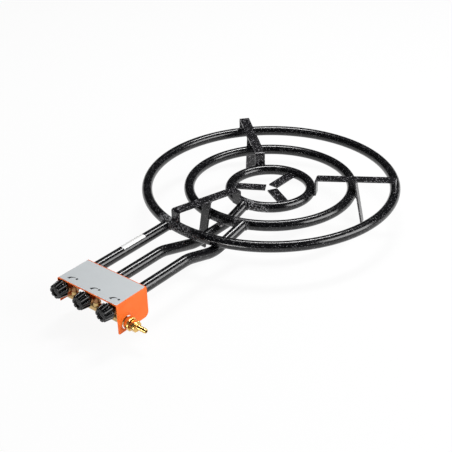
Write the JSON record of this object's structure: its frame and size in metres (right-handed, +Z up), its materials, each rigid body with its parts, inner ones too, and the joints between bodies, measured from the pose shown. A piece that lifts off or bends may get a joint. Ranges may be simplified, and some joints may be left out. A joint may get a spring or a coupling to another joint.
{
  "type": "paella burner",
  "caption": "Low gas burner for a wide paella pan: concentric tube rings on splayed legs with pan supports, fed by knob-operated taps under a folded sheet cover.",
  "frame": {"origin": "on the ground, under the middle of the part's box", "axes": "+Z up, +Y from the knobs to the rings, +X to the hose inlet's side"},
  "size_m": [0.625, 0.9524, 0.1235],
  "materials": {
    "black_enamel": "glossy enamel with fine pale flecks",
    "orange_paint": "satin powder coat",
    "label_foil": "grey printed foil, left bare",
    "sticker_film": "white film, left bare",
    "brass": "turned brass",
    "zinc_steel": "zinc-plated",
    "seal_fibre": "matt",
    "black_plastic": "glossy moulded"
  },
  "bodies": {
    "burner": {"outer_ring": "black_enamel", "middle_ring": "black_enamel", "inner_ring": "black_enamel", "outer_ring_feed": "black_enamel", "inner_ring_feed": "black_enamel", "middle_ring_feed": "black_enamel", "front_pan_support": "black_enamel", "right_pan_support": "black_enamel", "rear_pan_support": "black_enamel", "front_leg": "black_enamel", "right_leg": "black_enamel", "rear_leg": "black_enamel", "right_fin": "black_enamel", "rear_fin": "black_enamel", "left_fin": "black_enamel", "control_cover": "orange_paint", "cover_label": "label_foil", "tube_sticker": "sticker_film", "gas_manifold": "brass", "manifold_end_plug": "brass", "cover_screw": "zinc_steel", "cover_washer": "zinc_steel", "inlet_adapter": "brass", "nozzle_seal": "seal_fibre", "hose_nozzle": "brass", "left_valve_body": "brass", "left_bonnet_nut": "brass", "left_gas_injector": "brass", "left_mixer_bush": "zinc_steel", "centre_valve_body": "brass", "centre_bonnet_nut": "brass", "centre_gas_injector": "brass", "centre_mixer_bush": "zinc_steel", "right_valve_body": "brass", "right_bonnet_nut": "brass", "right_gas_injector": "brass", "right_mixer_bush": "zinc_steel"},
    "left_plug": {"left_valve_plug": "brass", "left_valve_spring": "zinc_steel"},
    "left_stem": {"left_valve_stem": "zinc_steel", "left_knob": "black_plastic"},
    "centre_plug": {"centre_valve_plug": "brass", "centre_valve_spring": "zinc_steel"},
    "centre_stem": {"centre_valve_stem": "zinc_steel", "centre_knob": "black_plastic"},
    "right_plug": {"right_valve_plug": "brass", "right_valve_spring": "zinc_steel"},
    "right_stem": {"right_valve_stem": "zinc_steel", "right_knob": "black_plastic"}
  },
  "joints": [
    {"name": "left_tap_turn", "type": "hinge", "parent": "burner", "child": "left_plug", "pos_m": [-0.066, -0.42425, 0.0782], "axis": [0, -1, 0], "range_deg": [0, 210]},
    {"name": "left_tap_push", "type": "slide", "parent": "left_plug", "child": "left_stem", "axis": [0, 1, 0], "range_m": [0, 0.003], "stiffness_N_per_m": 1500, "springref_m": -0.002, "deforming": ["left_valve_spring"]},
    {"name": "centre_tap_turn", "type": "hinge", "parent": "burner", "child": "centre_plug", "pos_m": [0, -0.42425, 0.0782], "axis": [0, -1, 0], "range_deg": [0, 210]},
    {"name": "centre_tap_push", "type": "slide", "parent": "centre_plug", "child": "centre_stem", "axis": [0, 1, 0], "range_m": [0, 0.003], "stiffness_N_per_m": 1500, "springref_m": -0.002, "deforming": ["centre_valve_spring"]},
    {"name": "right_tap_turn", "type": "hinge", "parent": "burner", "child": "right_plug", "pos_m": [0.066, -0.42425, 0.0782], "axis": [0, -1, 0], "range_deg": [0, 210]},
    {"name": "right_tap_push", "type": "slide", "parent": "right_plug", "child": "right_stem", "axis": [0, 1, 0], "range_m": [0, 0.003], "stiffness_N_per_m": 1500, "springref_m": -0.002, "deforming": ["right_valve_spring"]}
  ]
}
